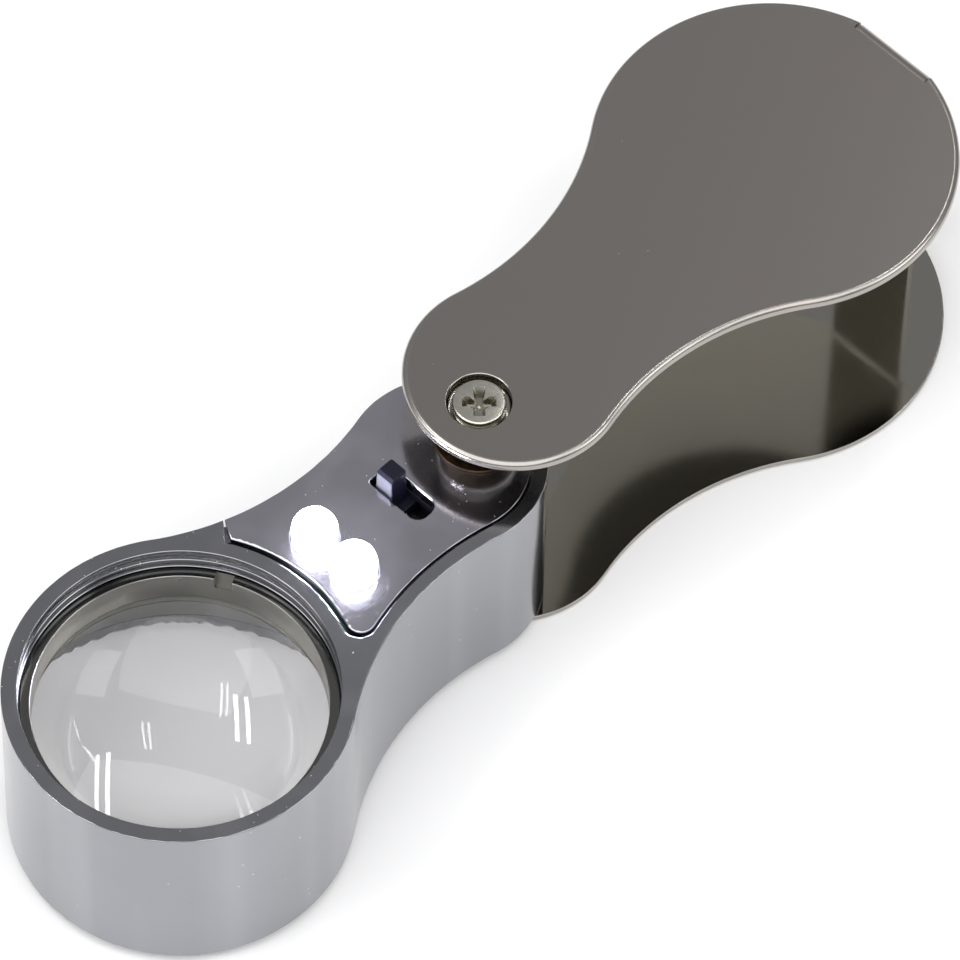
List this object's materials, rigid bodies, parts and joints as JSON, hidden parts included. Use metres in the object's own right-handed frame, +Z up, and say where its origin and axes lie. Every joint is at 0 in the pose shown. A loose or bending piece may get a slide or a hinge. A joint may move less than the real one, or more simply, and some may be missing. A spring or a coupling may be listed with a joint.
{
  "type": "folding illuminated loupe",
  "caption": "Pocket loupe: a chromed lens barrel with lamps and a slide switch in its neck, swinging on a pivot out of a U-shaped sheet-metal cover.",
  "frame": {"origin": "middle of the footprint of the opened loupe, on the surface that the cover's lower plate rests on", "axes": "+X from the lens barrel towards the cover's round end, along the opened loupe; +Z up, along the pivot and the lens axis"},
  "size_m": [0.1031, 0.032, 0.0252],
  "materials": {
    "cover_sheet": "satin stainless sheet",
    "screw_steel": "bright nickel",
    "pivot_brass": "dulled brass",
    "head_chrome": "bright chrome plate",
    "panel_chrome": "chrome plate with fine orange peel",
    "ring_metal": "satin turned",
    "sleeve_metal": "dark anodised",
    "lens_glass": "polished",
    "lamp_resin": "clear resin, lit",
    "board_resin": "solder-masked laminate",
    "resistor_lacquer": "lacquered",
    "knob_plastic": "moulded",
    "black_plastic": "moulded",
    "contact_brass": "bright strip",
    "cell_steel": "nickel-plated can",
    "spring_steel": "drawn wire"
  },
  "bodies": {
    "cover": {"folding_cover": "cover_sheet", "pivot_post": "pivot_brass", "pivot_screw_top": "screw_steel", "pivot_screw_bottom": "screw_steel", "friction_washer": "pivot_brass", "thrust_washer": "pivot_brass"},
    "head": {"head_shell": "head_chrome", "lamp_panel": "panel_chrome", "retaining_ring": "ring_metal", "magnifier_lens": "lens_glass", "lens_sleeve": "sleeve_metal", "lamp_left": "lamp_resin", "lamp_right": "lamp_resin", "circuit_board": "board_resin", "series_resistor": "resistor_lacquer", "switch_case": "black_plastic", "switch_leaf": "contact_brass", "cell_holder": "black_plastic", "upper_contact": "contact_brass", "contact_spring": "spring_steel", "return_strip": "contact_brass", "battery_door": "panel_chrome", "button_cell_1": "cell_steel", "button_cell_2": "cell_steel", "button_cell_3": "cell_steel"},
    "switch": {"switch_knob": "knob_plastic"}
  },
  "joints": [
    {"name": "fold_hinge", "type": "hinge", "parent": "cover", "child": "head", "pos_m": [-0.00088, 0, 0.01], "axis": [0, 0, 1], "continuous": true},
    {"name": "switch_slide", "type": "slide", "parent": "head", "child": "switch", "axis": [0, -1, 0], "range_m": [0, 0.003]}
  ]
}
